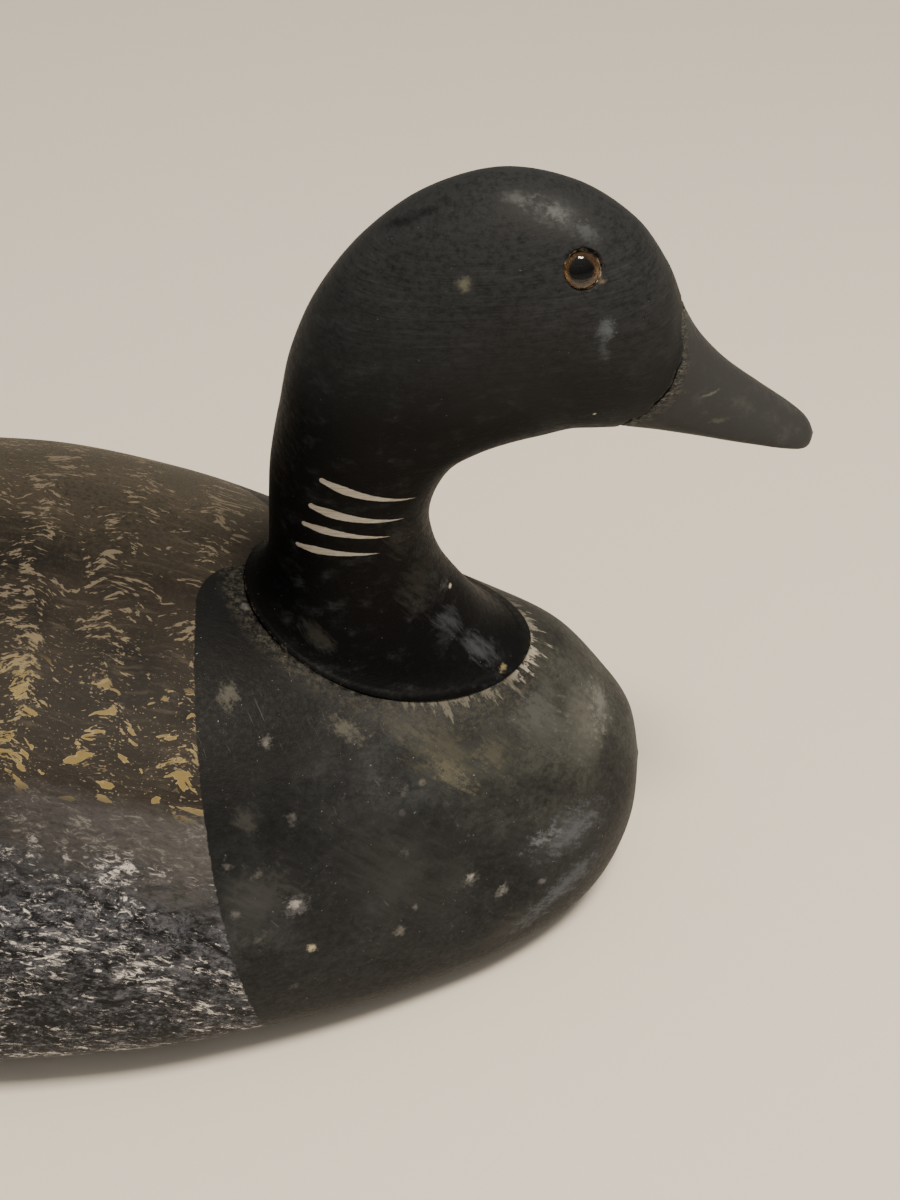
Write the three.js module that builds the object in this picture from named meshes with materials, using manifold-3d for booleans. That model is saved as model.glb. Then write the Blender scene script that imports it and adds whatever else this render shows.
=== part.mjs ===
// A carved and painted wooden goose decoy: a flat-bottomed body, a head and neck carved from a
// second block and seated on a shelf cut in the body's back, and two glass eyes.
// Millimetres, +Z up, +X towards the bill, +Y the bird's left side. The origin lies on the
// underside, below the middle of the decoy's length and width.

import * as THREE from 'three';
import { mergeVertices } from 'three/addons/utils/BufferGeometryUtils.js';
import Module from 'manifold-3d';

const wasm = await Module();
wasm.setup();

// Body. Each station is one cross-section of the carving, from the tail to the breast:
// x along the bird, half width, height of the ridge, height of the keel before the bottom is
// planed flat, height of the widest line, and the slope of the shoulders (1 is an ellipse, less
// is fuller, more is more sloping).
const BODY_STATIONS = [
  { x: -228.7, width: 0, ridge: 66, keel: 66, waist: 66, slope: 1 },
  { x: -226.8, width: 13, ridge: 69.5, keel: 62, waist: 65.5, slope: 1 },
  { x: -221, width: 25, ridge: 72, keel: 57.5, waist: 64.5, slope: 1 },
  { x: -210, width: 35.5, ridge: 75, keel: 51, waist: 61.5, slope: 1 },
  { x: -193, width: 46, ridge: 80, keel: 39.5, waist: 56, slope: 1 },
  { x: -169, width: 60, ridge: 89, keel: 22, waist: 48.5, slope: 1 },
  { x: -136, width: 77.5, ridge: 102.5, keel: 4.5, waist: 40, slope: 0.96 },
  { x: -92, width: 93, ridge: 116, keel: -3, waist: 34.5, slope: 0.91 },
  { x: -42, width: 101, ridge: 123.3, keel: -4, waist: 32, slope: 0.9 },
  { x: 8, width: 101, ridge: 122.5, keel: -4, waist: 31, slope: 0.9 },
  { x: 50, width: 96.5, ridge: 113.5, keel: -4, waist: 29, slope: 0.93 },
  { x: 84, width: 87.5, ridge: 104.3, keel: -4, waist: 27, slope: 1.05 },
  { x: 117, width: 75, ridge: 95.6, keel: -4, waist: 24, slope: 1.26 },
  { x: 145, width: 61.5, ridge: 87.4, keel: -3.5, waist: 22, slope: 1.48 },
  { x: 165, width: 48, ridge: 76.5, keel: -1, waist: 24, slope: 1.28 },
  { x: 179, width: 34, ridge: 61, keel: 5, waist: 28, slope: 1.12 },
  { x: 188, width: 17.5, ridge: 49, keel: 18, waist: 32, slope: 1 },
  { x: 191, width: 0, ridge: 34, keel: 34, waist: 34, slope: 1 },
];
const BILGE_FULLNESS = 0.66;
const BODY_RINGS_PER_STATION = 3;
const BODY_SIDES = 44;

// Head and neck. Each station is one cross-section from the neck's seat up over the crown and
// down to the bill's tip: its end on the nape, crown or top of the bill, its end on the throat,
// chin or underside of the bill, its half width, where it is widest along that line (0.5 is
// halfway), how much it narrows towards the throat side, and how far its sides bow forward.
const HEAD_STATIONS = [
  { back: [76, 106.2], front: [156.4, 80.6], width: 33, widest: 0.5, taper: 0.1, bow: -6 },
  { back: [80.5, 110], front: [147.3, 88], width: 28, widest: 0.5, taper: 0.1, bow: -5 },
  { back: [83.2, 116], front: [139.5, 98], width: 23.5, widest: 0.5, taper: 0.07, bow: -3.5 },
  { back: [84.2, 125], front: [132.8, 108.3], width: 20.8, widest: 0.5, taper: 0.06, bow: -2 },
  { back: [84.9, 137], front: [129.2, 118.3], width: 19.9, widest: 0.5, taper: 0.05, bow: -1 },
  { back: [86, 148.5], front: [128, 128.5], width: 20, widest: 0.5, taper: 0.05, bow: 0 },
  { back: [89.2, 164.5], front: [130.2, 138.7], width: 20.7, widest: 0.5, taper: 0.05, bow: 0 },
  { back: [93, 181], front: [135.5, 147.8], width: 21.8, widest: 0.5, taper: 0.05, bow: 0 },
  { back: [100, 197.3], front: [143, 152.6], width: 22.6, widest: 0.5, taper: 0.05, bow: 0 },
  { back: [111.2, 212.6], front: [151, 155.6], width: 23, widest: 0.5, taper: 0.05, bow: 0 },
  { back: [126.2, 225], front: [158.5, 157.5], width: 23, widest: 0.5, taper: 0.05, bow: 0 },
  { back: [145, 231.2], front: [165, 159.3], width: 22.4, widest: 0.5, taper: 0.04, bow: 0.5 },
  { back: [163.8, 227.8], front: [170, 159.8], width: 21, widest: 0.48, taper: 0, bow: 1.5 },
  { back: [178.7, 217.8], front: [173.5, 160.2], width: 18.6, widest: 0.46, taper: -0.04, bow: 2.5 },
  { back: [187.1, 206], front: [175.5, 160.5], width: 15.8, widest: 0.44, taper: -0.08, bow: 3 },
  { back: [191.7, 195], front: [177, 160.6], width: 13.6, widest: 0.42, taper: -0.1, bow: 3.2 },
  { back: [196.5, 185.7], front: [184.5, 160.6], width: 12.8, widest: 0.38, taper: -0.1, bow: 2.5 },
  { back: [204, 176.7], front: [195.5, 159.5], width: 12.3, widest: 0.36, taper: -0.1, bow: 1.5 },
  { back: [214.3, 168.2], front: [207.5, 157.4], width: 11.4, widest: 0.36, taper: -0.08, bow: 0.5 },
  { back: [223, 161.5], front: [218.5, 154.7], width: 9.6, widest: 0.4, taper: -0.04, bow: 0 },
  { back: [227.2, 158], front: [225.5, 152.6], width: 6, widest: 0.45, taper: 0, bow: 0 },
  { back: [228.7, 154.8], front: [228.7, 154.8], width: 0, widest: 0.5, taper: 0, bow: 0 },
];
const HEAD_RINGS_PER_STATION = 3;
const HEAD_SIDES = 32;
const BILL_LINE_STATION = 15;
const BILL_LINE_DEPTH = 1;
const BILL_LINE_HALF_WIDTH = 1;

// The neck's foot stands proud of the body all round its seat.
const NECK_EDGE_HEIGHT = 1;
const SEAT_GAP = 0.3;
const SEAT_CUT_HEIGHT = 60;

// The block that is planed off below the body.
const PLANED_BLOCK = { length: 500, width: 300, height: 40 };

// Glass eyes, each a domed lens in a bored socket: the dome's rim is placed by its distance along
// the bird, out from the middle, and up.
const EYE_PLACE = { x: 164.6, out: 16.1, z: 214.8 };
const EYE_TURN_UP = 27.5;
const EYE_TURN_FORWARD = 13.5;
const EYE_DIAMETER = 9.6;
const EYE_DOME = 2;
const EYE_DEPTH = 2.6;
const EYE_BACK_SHARE = 0.8;
const EYE_SIDES = 24;
const EYE_RINGS = 6;
const SOCKET_DIAMETER = 10.8;
const SOCKET_GAP = 0.3;

// Corners closer than this are one corner.
const SAME_CORNER = 1e-4;

// A smooth curve through a list of values, read at any position between the first and last.
function spline(values, position) {
  const last = values.length - 1;
  const start = Math.min(Math.floor(position), last - 1);
  const part = position - start;
  const b = values[start];
  const c = values[start + 1];
  const a = start > 0 ? values[start - 1] : 2 * b - c;
  const d = start + 2 <= last ? values[start + 2] : 2 * c - b;
  const straight = c - a;
  const bend = 2 * a - 5 * b + 4 * c - d;
  const twist = 3 * (b - c) + d - a;
  return b + 0.5 * part * (straight + part * (bend + part * twist));
}

// The smooth curve through one size of every station.
function read(stations, pick, position) {
  return spline(stations.map(pick), position);
}

function power(value, exponent) {
  return Math.sign(value) * Math.pow(Math.abs(value), exponent);
}

// Closes a stack of rings into one skin, with a fan of faces over the first and the last ring.
function loft(rings) {
  const sides = rings[0].length;
  const positions = [];
  const indices = [];
  rings.forEach((ring) => ring.forEach((point) => positions.push(point.x, point.y, point.z)));
  for (let r = 0; r < rings.length - 1; r += 1) {
    for (let s = 0; s < sides; s += 1) {
      const next = (s + 1) % sides;
      const a = r * sides + s;
      const b = r * sides + next;
      const c = (r + 1) * sides + next;
      const d = (r + 1) * sides + s;
      indices.push(a, c, b, a, d, c);
    }
  }
  [0, rings.length - 1].forEach((r) => {
    const middle = middleOf(rings[r]);
    const hub = positions.length / 3;
    positions.push(middle.x, middle.y, middle.z);
    for (let s = 0; s < sides; s += 1) {
      const a = r * sides + s;
      const b = r * sides + ((s + 1) % sides);
      if (r === 0) indices.push(hub, a, b);
      else indices.push(hub, b, a);
    }
  });
  const geometry = new THREE.BufferGeometry();
  geometry.setAttribute('position', new THREE.Float32BufferAttribute(positions, 3));
  geometry.setIndex(indices);
  return geometry;
}

function middleOf(ring) {
  const middle = new THREE.Vector3();
  ring.forEach((point) => middle.addScaledVector(point, 1 / ring.length));
  return middle;
}

// Geometry to solid and back.
function toSolid(geometry) {
  const bare = geometry.clone();
  bare.deleteAttribute('normal');
  bare.deleteAttribute('uv');
  const merged = mergeVertices(bare, SAME_CORNER);
  const corners = merged.index.array;
  const kept = [];
  for (let i = 0; i < corners.length; i += 3) {
    const [a, b, c] = [corners[i], corners[i + 1], corners[i + 2]];
    if (a !== b && b !== c && c !== a) kept.push(a, b, c);
  }
  return new wasm.Manifold(new wasm.Mesh({
    numProp: 3,
    vertProperties: new Float32Array(merged.attributes.position.array),
    triVerts: new Uint32Array(kept),
  }));
}

function toGeometry(solid) {
  const mesh = solid.getMesh();
  const geometry = new THREE.BufferGeometry();
  geometry.setAttribute('position', new THREE.BufferAttribute(mesh.vertProperties, 3));
  geometry.setIndex(new THREE.BufferAttribute(mesh.triVerts, 1));
  geometry.computeVertexNormals();
  return geometry;
}

// One cross-section of the body, round from the ridge over the left flank to the keel and back
// up the right flank.
function bodyRing(position) {
  const x = read(BODY_STATIONS, (s) => s.x, position);
  const width = Math.max(read(BODY_STATIONS, (s) => s.width, position), 0);
  const ridge = read(BODY_STATIONS, (s) => s.ridge, position);
  const keel = read(BODY_STATIONS, (s) => s.keel, position);
  const waist = read(BODY_STATIONS, (s) => s.waist, position);
  const slope = read(BODY_STATIONS, (s) => s.slope, position);
  const ring = [];
  for (let s = 0; s < BODY_SIDES; s += 1) {
    const angle = (2 * Math.PI * s) / BODY_SIDES;
    const across = Math.sin(angle);
    const rise = Math.cos(angle);
    const above = rise > 0;
    const y = width * (above ? across : power(across, BILGE_FULLNESS));
    const z = above
      ? waist + (ridge - waist) * Math.pow(rise, slope)
      : waist + (waist - keel) * power(rise, BILGE_FULLNESS);
    ring.push(new THREE.Vector3(x, y, z));
  }
  return ring;
}

// One cross-section of the head and neck, shrunk by inset where the bill line is cut.
function headRing(position, inset = 0) {
  const back = new THREE.Vector3(
    read(HEAD_STATIONS, (s) => s.back[0], position), 0,
    read(HEAD_STATIONS, (s) => s.back[1], position));
  const front = new THREE.Vector3(
    read(HEAD_STATIONS, (s) => s.front[0], position), 0,
    read(HEAD_STATIONS, (s) => s.front[1], position));
  const width = Math.max(read(HEAD_STATIONS, (s) => s.width, position) - inset, 0);
  const widest = read(HEAD_STATIONS, (s) => s.widest, position);
  const taper = read(HEAD_STATIONS, (s) => s.taper, position);
  const bow = read(HEAD_STATIONS, (s) => s.bow, position);
  const depth = back.distanceTo(front);
  const towardsBack = back.clone().sub(front).normalize();
  const forward = new THREE.Vector3(towardsBack.z, 0, -towardsBack.x);
  const frontHalf = depth * widest;
  const frontReach = Math.max(frontHalf - inset, 0);
  const backReach = Math.max(depth - frontHalf - inset, 0);
  const middle = front.clone().addScaledVector(towardsBack, frontHalf);
  const ring = [];
  for (let s = 0; s < HEAD_SIDES; s += 1) {
    const angle = (2 * Math.PI * s) / HEAD_SIDES;
    const across = Math.sin(angle);
    const rise = Math.cos(angle);
    const point = middle.clone()
      .addScaledVector(towardsBack, (rise > 0 ? backReach : frontReach) * rise)
      .addScaledVector(forward, bow * across * across);
    point.y = width * across * (1 - 0.5 * taper * (1 - rise));
    ring.push(point);
  }
  return ring;
}

// The seat is the neck's first cross-section; its plane slopes down towards the breast.
const seatRing = headRing(0);
const seatBack = seatRing[0];
const seatFront = seatRing[HEAD_SIDES / 2];
const seatAlong = seatFront.clone().sub(seatBack).normalize();
const seatUp = new THREE.Vector3(-seatAlong.z, 0, seatAlong.x);

function raised(ring, height) {
  return ring.map((point) => point.clone().addScaledVector(seatUp, height));
}

function grown(ring, amount) {
  const middle = middleOf(ring);
  return ring.map((point) => {
    const outward = point.clone().sub(middle).normalize();
    return point.clone().addScaledVector(outward, amount);
  });
}

// The body is lofted, planed flat underneath, and cut for the neck's seat.
function makeBody() {
  const rings = [];
  const steps = (BODY_STATIONS.length - 1) * BODY_RINGS_PER_STATION;
  for (let i = 0; i <= steps; i += 1) rings.push(bodyRing(i / BODY_RINGS_PER_STATION));
  const planedOff = new THREE.BoxGeometry(
    PLANED_BLOCK.length, PLANED_BLOCK.width, PLANED_BLOCK.height);
  planedOff.translate(0, 0, -PLANED_BLOCK.height / 2);
  const seatOutline = grown(seatRing, SEAT_GAP);
  const seatCut = loft([seatOutline, raised(seatOutline, SEAT_CUT_HEIGHT)]);
  return toSolid(loft(rings)).subtract(toSolid(planedOff)).subtract(toSolid(seatCut));
}

// The head and neck are lofted with a short upright edge at the foot and the bill line cut
// round the bill's base.
function makeHead() {
  const rings = [raised(seatRing, SEAT_GAP), raised(seatRing, NECK_EDGE_HEIGHT)];
  const before = HEAD_STATIONS[BILL_LINE_STATION - 1].back;
  const after = HEAD_STATIONS[BILL_LINE_STATION + 1].back;
  const spacing = Math.hypot(after[0] - before[0], after[1] - before[1]) / 2;
  const lineHalf = BILL_LINE_HALF_WIDTH / spacing;
  const steps = (HEAD_STATIONS.length - 1) * HEAD_RINGS_PER_STATION;
  for (let i = 1; i <= steps; i += 1) {
    const position = i / HEAD_RINGS_PER_STATION;
    if (position === BILL_LINE_STATION) {
      rings.push(headRing(position - lineHalf));
      rings.push(headRing(position, BILL_LINE_DEPTH));
      rings.push(headRing(position + lineHalf));
    } else {
      rings.push(headRing(position));
    }
  }
  return toSolid(loft(rings));
}

// An eye or a socket is made along +Y for the left side or -Y for the right, and then placed.
function turnedOut(geometry, side) {
  return geometry.rotateX(side > 0 ? 0 : Math.PI);
}

function makeEye(side) {
  const radius = EYE_DIAMETER / 2;
  const profile = [
    new THREE.Vector2(0, -EYE_DEPTH),
    new THREE.Vector2(radius * EYE_BACK_SHARE, -EYE_DEPTH),
  ];
  for (let i = 0; i < EYE_RINGS; i += 1) {
    const angle = (Math.PI / 2) * (i / EYE_RINGS);
    profile.push(new THREE.Vector2(radius * Math.cos(angle), EYE_DOME * Math.sin(angle)));
  }
  profile.push(new THREE.Vector2(0, EYE_DOME));
  return turnedOut(new THREE.LatheGeometry(profile, EYE_SIDES), side);
}

function makeSocket(side) {
  const depth = EYE_DEPTH + SOCKET_GAP;
  const length = depth + SOCKET_DIAMETER;
  const radius = SOCKET_DIAMETER / 2;
  const drill = new THREE.CylinderGeometry(radius, radius, length, EYE_SIDES);
  return turnedOut(drill.translate(0, length / 2 - depth, 0), side);
}

function placeAtEye(object, side) {
  object.position.set(EYE_PLACE.x, side * EYE_PLACE.out, EYE_PLACE.z);
  object.rotation.set(
    THREE.MathUtils.degToRad(side * EYE_TURN_UP), 0,
    THREE.MathUtils.degToRad(-side * EYE_TURN_FORWARD));
  object.updateMatrix();
}

const painted = (color, roughness) => new THREE.MeshStandardMaterial({
  color, roughness, metalness: 0,
});
const bodyPaint = painted(0x3d3833, 0.65);
const headPaint = painted(0x2b2a28, 0.6);
const glass = painted(0x4a2a14, 0.08);

const decoy = new THREE.Group();

let headSolid = makeHead();
[['eye_left', 1], ['eye_right', -1]].forEach(([name, side]) => {
  const socket = new THREE.Mesh(makeSocket(side));
  placeAtEye(socket, side);
  headSolid = headSolid.subtract(toSolid(socket.geometry.applyMatrix4(socket.matrix)));
  const eye = new THREE.Mesh(toGeometry(toSolid(makeEye(side))), glass);
  eye.name = name;
  placeAtEye(eye, side);
  decoy.add(eye);
});

const head = new THREE.Mesh(toGeometry(headSolid), headPaint);
head.name = 'head';

const body = new THREE.Mesh(toGeometry(makeBody()), bodyPaint);
body.name = 'body';

decoy.add(body, head);

export default decoy;
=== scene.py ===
import math

import bpy
import numpy as np
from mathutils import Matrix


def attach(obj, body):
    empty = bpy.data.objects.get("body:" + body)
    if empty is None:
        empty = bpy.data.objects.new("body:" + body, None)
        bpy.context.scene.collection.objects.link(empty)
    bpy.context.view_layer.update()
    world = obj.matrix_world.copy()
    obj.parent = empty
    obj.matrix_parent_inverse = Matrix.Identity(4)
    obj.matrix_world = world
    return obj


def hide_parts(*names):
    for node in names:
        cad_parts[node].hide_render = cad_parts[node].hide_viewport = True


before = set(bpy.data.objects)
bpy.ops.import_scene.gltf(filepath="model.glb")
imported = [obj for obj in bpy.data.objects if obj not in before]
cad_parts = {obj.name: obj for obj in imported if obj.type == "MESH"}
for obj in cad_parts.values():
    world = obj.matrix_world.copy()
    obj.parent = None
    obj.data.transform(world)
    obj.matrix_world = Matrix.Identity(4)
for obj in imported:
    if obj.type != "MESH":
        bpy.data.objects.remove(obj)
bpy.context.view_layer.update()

# Head and neck.
# One block of white cedar, whittled and rasped round and set on a shelf cut in the body's back.
# Each station is a cross-section in millimetres, from the neck's foot over the crown to the bill's
# tip: its end on nape, crown or culmen (x, z), its end on throat or chin (x, z), half width, where
# between them it is widest, how much it narrows to the throat, and how far its sides bow forward.
HEAD_STATIONS = np.array([
    (76, 106.2, 156.4, 80.6, 33, 0.5, 0.1, -6),
    (80.5, 110, 147.3, 88, 28, 0.5, 0.1, -5),
    (83.2, 116, 139.5, 98, 23.5, 0.5, 0.07, -3.5),
    (84.2, 125, 132.8, 108.3, 20.8, 0.5, 0.06, -2),
    (84.9, 137, 129.2, 118.3, 19.9, 0.5, 0.05, -1),
    (86, 148.5, 128, 128.5, 20, 0.5, 0.05, 0),
    (89.2, 164.5, 130.2, 138.7, 20.7, 0.5, 0.05, 0),
    (93, 181, 135.5, 147.8, 21.8, 0.5, 0.05, 0),
    (100, 197.3, 143, 152.6, 22.6, 0.5, 0.05, 0),
    (111.2, 212.6, 151, 155.6, 23, 0.5, 0.05, 0),
    (126.2, 225, 158.5, 157.5, 23, 0.5, 0.05, 0),
    (145, 231.2, 165, 159.3, 22.4, 0.5, 0.04, 0.5),
    (163.8, 227.8, 170, 159.8, 21, 0.48, 0, 1.5),
    (178.7, 217.8, 173.5, 160.2, 18.6, 0.46, -0.04, 2.5),
    (187.1, 206, 175.5, 160.5, 15.8, 0.44, -0.08, 3),
    (191.7, 195, 177, 160.6, 13.6, 0.42, -0.1, 3.2),
    (196.5, 185.7, 184.5, 160.6, 12.8, 0.38, -0.1, 2.5),
    (204, 176.7, 195.5, 159.5, 12.3, 0.36, -0.1, 1.5),
    (214.3, 168.2, 207.5, 157.4, 11.4, 0.36, -0.08, 0.5),
    (223, 161.5, 218.5, 154.7, 9.6, 0.4, -0.04, 0),
    (227.2, 158, 225.5, 152.6, 6, 0.45, 0, 0),
    (228.7, 154.8, 228.7, 154.8, 0, 0.5, 0, 0),
])
HEAD_SPACING = 0.9
HEAD_SIDES = 184
# Rings are spaced by their steps along back and front together, and closer at the bill line.
LINE_STATIONS = (14.1, 15.9)
LINE_SPACING = 0.4
BACK_SHARE, FRONT_SHARE = 0.8, 0.6
FIRST_BILL_STATION = 13.2
NECK_EDGE_HEIGHT = 1.0
SEAT_GAP = 0.3
# The bill line as it runs down the side of the face: x at each height z.
BILL_LINE_Z = (150, 160.5, 162, 166, 169.8, 172, 174.3, 176.7, 179, 181, 184, 185.7, 188, 192, 196)
BILL_LINE_X = (174, 174.8, 175.4, 177, 179.6, 182.4, 184.3, 186.6, 188.4, 189.1, 190.2, 191.2,
               191.4, 190.8, 191.2)
MM = 0.001


def spline(values, position):
    """A smooth curve through evenly spaced values, read at some positions along them."""
    values = np.asarray(values, float)
    start = np.clip(np.floor(position).astype(int), 0, len(values) - 2)
    part = position - start
    ends = [[2 * values[0] - values[1]], values, [2 * values[-1] - values[-2]]]
    a, b, c, d = (np.concatenate(ends)[start + step] for step in range(4))
    bend = 2 * a - 5 * b + 4 * c - d
    return b + 0.5 * part * ((c - a) + part * (bend + part * (3 * (b - c) + d - a)))


def spread(path, spacing):
    """Positions along a densely sampled path, with the spacing that each of its steps asks for."""
    steps = np.linalg.norm(np.diff(path, axis=0), axis=1) / spacing
    length = np.concatenate([[0], np.cumsum(steps)])
    wanted = np.linspace(0, length[-1], int(length[-1]) + 1)
    return np.interp(wanted, length, np.linspace(0, 1, len(path)))


def run(points, axis):
    """Length along a run of points, from its start."""
    steps = np.linalg.norm(np.diff(points, axis=axis), axis=-1)
    start = np.zeros_like(np.take(steps, [0], axis))
    return np.concatenate([start, np.cumsum(steps, axis)], axis)


def placed(name, data):
    made = bpy.data.objects.new(name, data)
    bpy.context.collection.objects.link(made)
    return made


def skin(name, rings, first_pole, last_pole, along):
    """A closed mesh in metres over a stack of equal rings, which begin at their lowest point, with
    one point at each end. Its map holds how far along the grain each point of a ring lies and how
    far round it from its top, in millimetres."""
    count, sides = rings.shape[:2]
    points = np.concatenate([rings.reshape(-1, 3), [first_pole, last_pole]]) * MM
    row, column = np.meshgrid(np.arange(count - 1), np.arange(sides), indexing="ij")
    after = (column + 1) % sides
    here, there = row * sides, (row + 1) * sides
    quads = np.stack([here + column, there + column, there + after, here + after], -1)
    along = np.concatenate([along, along[:, :1]], 1)
    around = run(np.concatenate([rings, rings[:, :1]], 1), 1)
    grain = np.stack([along, around - around[:, -1:] / 2], -1)
    corners = np.stack([grain[:-1, :-1], grain[1:, :-1], grain[1:, 1:], grain[:-1, 1:]], 2)
    faces, places = quads.reshape(-1, 4).tolist(), [corners.reshape(-1, 2)]
    for pole, ring, turn in ((0, 0, 1), (1, count - 1, -1)):
        edge = [ring * sides + column[0], ring * sides + after[0]][::turn]
        faces += np.stack([np.full(sides, count * sides + pole), *edge], 1).tolist()
        middle = np.tile(grain[ring, :-1].mean(0), (sides, 1))
        edge = [grain[ring, :-1], grain[ring, 1:]][::turn]
        places.append(np.stack([middle, *edge], 1).reshape(-1, 2))
    mesh = bpy.data.meshes.new(name)
    mesh.from_pydata(points.tolist(), [], faces)
    mesh.uv_layers.new(name="grain").uv.foreach_set("vector", np.concatenate(places).ravel())
    mesh.polygons.foreach_set("use_smooth", np.ones(len(mesh.polygons), bool))
    mesh.update()
    return placed(name, mesh)


def head_ring(position, sides=HEAD_SIDES):
    """The outline of one cross-section of the head, from its back round."""
    back_x, back_z, front_x, front_z, width, widest, taper, bow = (
        spline(column, np.float64(position)) for column in HEAD_STATIONS.T)
    front = np.array([front_x, 0, front_z])
    along = np.array([back_x, 0, back_z]) - front
    depth = np.linalg.norm(along)
    along = along / depth
    forward = np.array([along[2], 0, -along[0]])
    angle = 2 * math.pi * np.arange(sides) / sides
    across, rise = np.sin(angle)[:, None], np.cos(angle)[:, None]
    reach = np.where(rise > 0, depth * (1 - widest), depth * widest)
    ring = front + along * (depth * widest + reach * rise) + forward * bow * across ** 2
    ring[:, 1] = (max(width, 0) * across * (1 - 0.5 * taper * (1 - rise)))[:, 0]
    return ring


# The seat's plane slopes down towards the breast.
seat_back, seat_front = head_ring(0, 2)
seat_along = (seat_front - seat_back) / np.linalg.norm(seat_front - seat_back)
SEAT_UP = np.array([-seat_along[2], 0, seat_along[0]])


def head_rings():
    """The head's rings, and the positions among the stations of those above the foot."""
    last = len(HEAD_STATIONS) - 1
    dense = np.linspace(0, last, 80 * last)
    path = np.stack([spline(column, dense) for column in HEAD_STATIONS.T[:4]], 1)
    path = path * (BACK_SHARE, BACK_SHARE, FRONT_SHARE, FRONT_SHARE)
    near_line = (dense > LINE_STATIONS[0]) & (dense < LINE_STATIONS[1])
    spacing = np.where(near_line, LINE_SPACING, HEAD_SPACING)[1:]
    positions = spread(path, spacing)[1:-1] * last
    above_foot = NECK_EDGE_HEIGHT / np.linalg.norm(HEAD_STATIONS[1, :2] - HEAD_STATIONS[0, :2])
    positions = positions[positions > 1.5 * above_foot]
    foot = head_ring(0)
    rings = [foot + SEAT_UP * SEAT_GAP, foot + SEAT_UP * NECK_EDGE_HEIGHT]
    return np.array(rings + [head_ring(p) for p in positions]), positions


rings, positions = head_rings()
rings = np.roll(rings, HEAD_SIDES // 2, axis=1)
# How far each point lies past the bill line, measured along the head.
along_head = run(rings, 0)
past_line = rings[:, :, 0] - np.interp(rings[:, :, 2], BILL_LINE_Z, BILL_LINE_X)
on_bill = np.searchsorted(positions, FIRST_BILL_STATION) + 2
beyond_line = np.zeros(along_head.shape)
for side in range(HEAD_SIDES):
    line = on_bill + np.argmax(past_line[on_bill:, side] > 0)
    part = past_line[line, side] / (past_line[line, side] - past_line[line - 1, side])
    at_line = along_head[line, side] * (1 - part) + along_head[line - 1, side] * part
    beyond_line[:, side] = along_head[:, side] - at_line
tip = head_ring(len(HEAD_STATIONS) - 1, 2)[0]
head = skin("carved_head", rings, rings[0].mean(0), tip, beyond_line)


def read_points(piece):
    """A piece's points in millimetres."""
    values = np.zeros(len(piece.data.vertices) * 3)
    piece.data.vertices.foreach_get("co", values)
    return values.reshape(-1, 3) / MM


def write_points(piece, points):
    piece.data.vertices.foreach_set("co", (points * MM).ravel())
    piece.data.update()


def sink(piece, depth):
    """Moves each point of a piece inwards, square to its surface, by its own depth."""
    normals = np.zeros(len(piece.data.vertices) * 3)
    piece.data.vertex_normals.foreach_get("vector", normals)
    write_points(piece, read_points(piece) - normals.reshape(-1, 3) * depth[:, None])


def ripple(points, length, seed):
    """Smooth random swells of about that length over some points, from -1 to 1."""
    count, steepness = 14, 2.6
    draw = np.random.default_rng(seed)
    waves = draw.normal(size=(count, 3))
    waves = waves / np.linalg.norm(waves, axis=1)[:, None] * draw.uniform(0.7, 1.4, (count, 1))
    phase = points @ (waves.T * 2 * math.pi / length) + draw.uniform(0, 2 * math.pi, count)
    return np.clip(np.sin(phase).mean(1) * steepness, -1, 1)


def knocked(points, marks):
    """Depth at each point of a list of marks: both ends, half width and depth in millimetres."""
    depth = np.zeros(len(points))
    for start, end, width, deep in marks:
        start, end = np.array(start, float), np.array(end, float)
        along = end - start
        share = np.clip((points - start) @ along / max(along @ along, 1e-9), 0, 1)
        away = np.linalg.norm(points - start - share[:, None] * along, axis=1) / width
        depth = np.maximum(depth, deep * np.clip(1 - away ** 2, 0, 1) ** 2)
    return depth


# Knife work on the head: a ledge from face down to bill with a ragged cut in its foot, a shallow
# crease behind the crown, and small knocks.
LINE_DEPTH = 1.1
LINE_MIDDLE = 0.5
LINE_HALF_WIDTH = 0.75
LINE_WAVER, LINE_FRAY = 0.45, 0.2
LEDGE_DEPTH = 0.5
LEDGE_WIDTH = 0.6
LEDGE_FADE = 6.0
# Past the line lies a rough strip, down to the chin. The line is shallower at the brow.
STRIP_MIDDLE = 1.8
STRIP_HALF_WIDTH = 2.4
STRIP_ROUGHNESS = 0.16
CHIN_HEIGHT, BROW_HEIGHT = 158, 186
HEAD_MARKS = [
    ((116.7, -4.3, 217.2), (128.8, -6.3, 224.4), 2.2, 0.5),
    ((191.4, -1.5, 196), (192.2, -0.5, 194.6), 1.1, 0.9),
    ((191.4, -9.9, 186.2), (192.6, -9.2, 186), 0.9, 0.6),
    ((196, -1.5, 187), (196, 1.5, 187), 0.8, 0.35),
    ((176.5, -3, 162.5), (176.5, 1, 161), 1.2, 0.5),
    ((86, -8, 150), (85.5, -6, 155), 1.6, 0.2),
]
points = read_points(head)
beyond = np.concatenate([beyond_line.ravel(), [beyond_line.min(), beyond_line.max()]])
ragged = beyond + LINE_WAVER * ripple(points, 5, 1) + LINE_FRAY * ripple(points, 1.8, 2)
lower = np.clip((BROW_HEIGHT - points[:, 2]) / 20, 0.25, 1)
cut = LINE_DEPTH * lower * np.clip(1 - np.abs(ragged - LINE_MIDDLE) / LINE_HALF_WIDTH, 0, 1)
ledge = np.clip(ragged / LEDGE_WIDTH, 0, 1) * np.exp(-np.clip(beyond, 0, None) / LEDGE_FADE)
strip = np.clip(1 - np.abs(beyond - STRIP_MIDDLE) / STRIP_HALF_WIDTH, 0, 1)
rough = STRIP_ROUGHNESS * strip * (ripple(points, 1.6, 3) + ripple(points, 3, 4))
rough = rough * np.clip((points[:, 2] - CHIN_HEIGHT) / 6, 0, 1)
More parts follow.
